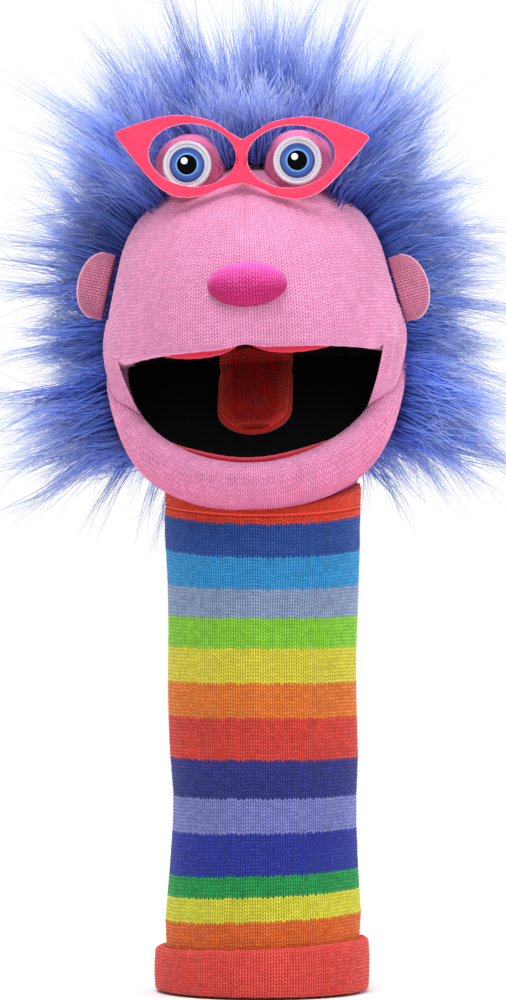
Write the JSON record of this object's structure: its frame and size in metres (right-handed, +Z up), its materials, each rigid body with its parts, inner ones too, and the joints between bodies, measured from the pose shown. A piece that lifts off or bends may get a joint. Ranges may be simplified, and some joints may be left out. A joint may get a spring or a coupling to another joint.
{
  "type": "hand puppet",
  "caption": "Knitted hand puppet with a striped sleeve for the arm, a padded head with long fur hair, a hinged mouth with a tongue, felt cat-eye glasses and soft ears.",
  "frame": {"origin": "centre of the arm opening at the bottom of the turned-up cuff", "axes": "+Z up the sleeve towards the head, -Y the way the face looks, +X to the left of the puppet"},
  "size_m": [0.2001, 0.1681, 0.3994],
  "materials": {
    "knit_stripes": "matte",
    "knit_cuff": "matte",
    "knit_pink": "matte",
    "knit_rose": "matte",
    "knit_magenta": "matte",
    "knit_dark_red": "matte",
    "felt_black": "matte",
    "felt_crimson": "matte",
    "felt_red_pink": "matte",
    "felt_red": "matte",
    "felt_grey_white": "matte",
    "thread_white": "satin",
    "thread_blue": "satin",
    "thread_black": "satin",
    "thread_crimson": "satin",
    "fur_blue": "satin",
    "fur_backing": "matte",
    "foam": "matte",
    "stuffing": "matte",
    "lining_cloth": "matte",
    "mouth_card": "matte"
  },
  "bodies": {
    "sleeve": {"cuff_band": "knit_cuff", "sleeve_lower": "knit_stripes"},
    "sleeve_mid": {"sleeve_bend": "knit_stripes", "sleeve_middle": "knit_stripes"},
    "wrist": {"sleeve_twist": "knit_stripes", "sleeve_wrist": "knit_stripes"},
    "head": {"sleeve_flex": "knit_stripes", "sleeve_top": "knit_stripes", "neck_seam": "knit_cuff", "head_cover": "knit_pink", "head_foam": "foam", "nape_cover": "knit_pink", "upper_mouth_board": "mouth_card", "upper_mouth_lining": "felt_black", "upper_lip_trim": "felt_crimson", "finger_pocket": "lining_cloth", "mouth_fold": "felt_black", "nose_cover": "knit_magenta", "nose_stuffing": "stuffing", "eyeball_cover_left": "knit_pink", "eyeball_cover_right": "knit_pink", "eyeball_stuffing_left": "stuffing", "eyeball_stuffing_right": "stuffing", "eye_white_left": "felt_grey_white", "eye_white_right": "felt_grey_white", "eye_rim_left": "thread_white", "eye_rim_right": "thread_white", "iris_left": "thread_blue", "iris_right": "thread_blue", "pupil_left": "thread_black", "pupil_right": "thread_black", "glint_left": "thread_white", "glint_right": "thread_white", "glasses": "felt_red_pink", "glasses_tacks": "thread_crimson", "hair_backing": "fur_backing", "hair_top": "fur_blue", "hair_left": "fur_blue", "hair_right": "fur_blue", "hair_back": "fur_blue", "hair_nape": "fur_blue"},
    "jaw": {"lower_mouth_board": "mouth_card", "lower_mouth_lining": "felt_black", "lower_lip_trim": "felt_crimson", "thumb_pocket": "lining_cloth", "lip_roll": "knit_pink", "jaw_foam": "foam", "jaw_cover": "knit_pink"},
    "tongue": {"tongue_root": "knit_dark_red", "tongue_cover": "knit_dark_red", "tongue_felt": "felt_red"},
    "ear_left": {"ear_cover_left": "knit_rose", "ear_stuffing_left": "stuffing"},
    "ear_right": {"ear_cover_right": "knit_rose", "ear_stuffing_right": "stuffing"}
  },
  "joints": [
    {"name": "sleeve_lean", "type": "hinge", "parent": "sleeve", "child": "sleeve_mid", "pos_m": [0, 0, 0.05516], "axis": [0, 1, 0], "range_deg": [-15, 15], "deforming": ["sleeve_bend"]},
    {"name": "head_turn", "type": "hinge", "parent": "sleeve_mid", "child": "wrist", "pos_m": [0, 0, 0.09752], "axis": [0, 0, 1], "range_deg": [-40, 40], "deforming": ["sleeve_twist"]},
    {"name": "head_nod", "type": "hinge", "parent": "wrist", "child": "head", "pos_m": [0, 0, 0.14677], "axis": [1, 0, 0], "range_deg": [-25, 22], "deforming": ["sleeve_flex"]},
    {"name": "jaw_hinge", "type": "hinge", "parent": "head", "child": "jaw", "pos_m": [-0.00216, 0.00015, 0.25896], "axis": [0.997, -0.0697, 0.0349], "range_deg": [-35, 2]},
    {"name": "tongue_lift", "type": "hinge", "parent": "jaw", "child": "tongue", "pos_m": [-0.0022, -0.00262, 0.2546], "axis": [-0.997, 0.0697, -0.0349], "range_deg": [0, 16]},
    {"name": "ear_left_fold", "type": "hinge", "parent": "head", "child": "ear_left", "pos_m": [0.05526, -0.01389, 0.28707], "axis": [-0.2792, 0.0195, 0.96], "range_deg": [-40, 8], "stiffness_Nm_per_rad": 0.004},
    {"name": "ear_right_fold", "type": "hinge", "parent": "head", "child": "ear_right", "pos_m": [-0.06278, -0.00563, 0.28294], "axis": [-0.2117, 0.0148, -0.9772], "range_deg": [-40, 8], "stiffness_Nm_per_rad": 0.004}
  ]
}
